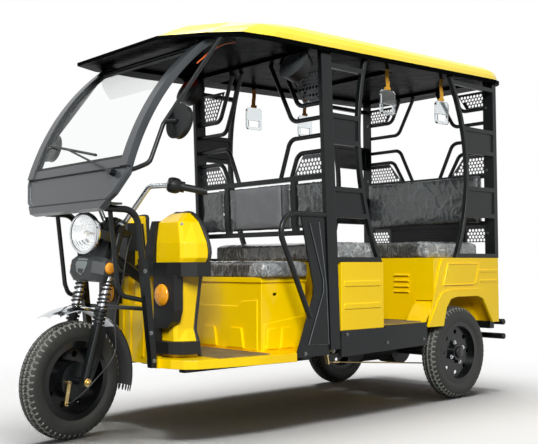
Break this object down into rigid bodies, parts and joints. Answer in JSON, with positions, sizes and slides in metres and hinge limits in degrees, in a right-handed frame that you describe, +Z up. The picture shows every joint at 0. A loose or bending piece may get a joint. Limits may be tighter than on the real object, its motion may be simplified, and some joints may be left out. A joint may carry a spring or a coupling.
{
  "type": "electric passenger tricycle",
  "caption": "Open-sided electric passenger tricycle with a hard roof, a driver seat ahead of facing benches, a sprung steered front wheel and driven rear wheels.",
  "frame": {"origin": "on the floor under the middle of the length and width", "axes": "+X forwards, +Y to the left side, +Z up"},
  "size_m": [2.8098, 1.192, 1.8876],
  "materials": {
    "black_paint": "satin",
    "yellow_paint": "gloss",
    "black_plastic": "satin",
    "amber_lens": "gloss",
    "clear_glass": "gloss",
    "dark_grey_plastic": "satin",
    "black_vinyl": "satin",
    "grey_vinyl": "satin",
    "battery_case": "matte",
    "yellow_webbing": "matte",
    "clear_plastic": "gloss",
    "orange_cable": "satin",
    "bright_steel": "gloss",
    "zinc_steel": "satin",
    "chrome_plate": "mirror",
    "black_rubber": "matte",
    "tyre_rubber": "matte"
  },
  "bodies": {
    "vehicle_body": {"chassis_frame": "black_paint", "floor_pan": "yellow_paint", "front_apron": "yellow_paint", "leg_shields": "yellow_paint", "shield_trim": "black_plastic", "signal_lamps": "amber_lens", "crash_guard": "black_paint", "windscreen_glass": "clear_glass", "windscreen_frame": "black_paint", "cowl_panel": "dark_grey_plastic", "wiper": "black_plastic", "mirrors": "black_plastic", "roof_shell": "yellow_paint", "roof_liner": "black_plastic", "b_pillars": "black_paint", "c_pillars": "black_paint", "cabin_rails": "black_paint", "mesh_panels": "black_paint", "driver_seat_box": "yellow_paint", "driver_cushion": "black_vinyl", "backrest_pads": "grey_vinyl", "front_bench_base": "yellow_paint", "front_bench_cushion": "black_vinyl", "battery_pack": "battery_case", "rear_bench_base": "yellow_paint", "rear_bench_cushion": "black_vinyl", "rear_backrest": "black_vinyl", "quarter_panels": "yellow_paint", "rear_bumper": "black_paint", "side_steps": "black_paint", "side_guards": "black_paint", "rear_axle": "black_paint", "leaf_springs": "black_paint", "grab_straps": "yellow_webbing", "grab_handles": "clear_plastic", "roof_speakers": "black_plastic", "roof_lead": "orange_cable", "rear_vent": "black_plastic"},
    "steering": {"steering_stem": "black_paint", "fork_tubes": "bright_steel", "fork_springs": "black_paint", "fork_legs": "black_paint", "front_mudguard": "chrome_plate", "mud_flap": "black_rubber", "handlebar": "bright_steel", "grips": "black_rubber", "headlamp": "chrome_plate", "headlamp_lens": "clear_glass", "lamp_fascia": "black_plastic", "fascia_signals": "amber_lens", "brake_cable": "black_plastic", "brake_gear": "zinc_steel"},
    "front_wheel_set": {"front_tyre": "tyre_rubber", "front_wheel": "black_paint"},
    "rear_left_wheel_set": {"rear_left_tyre": "tyre_rubber", "rear_left_wheel": "black_paint"},
    "rear_right_wheel_set": {"rear_right_tyre": "tyre_rubber", "rear_right_wheel": "black_paint"}
  },
  "joints": [
    {"name": "steering_turn", "type": "hinge", "parent": "vehicle_body", "child": "steering", "pos_m": [1.12444, 0, 0.24094], "axis": [-0.2588, 0, 0.9659], "range_deg": [-49.6, 30.4]},
    {"name": "front_wheel_spin", "type": "hinge", "parent": "steering", "child": "front_wheel_set", "pos_m": [1.15778, 0.00584, 0.24987], "axis": [-0.1611, 0.986, -0.0432], "continuous": true},
    {"name": "rear_left_wheel_spin", "type": "hinge", "parent": "vehicle_body", "child": "rear_left_wheel_set", "pos_m": [-0.96675, 0.44, 0.25], "axis": [0, 1, 0], "continuous": true},
    {"name": "rear_right_wheel_spin", "type": "hinge", "parent": "vehicle_body", "child": "rear_right_wheel_set", "pos_m": [-0.96675, -0.44, 0.25], "axis": [0, 1, 0], "continuous": true}
  ]
}
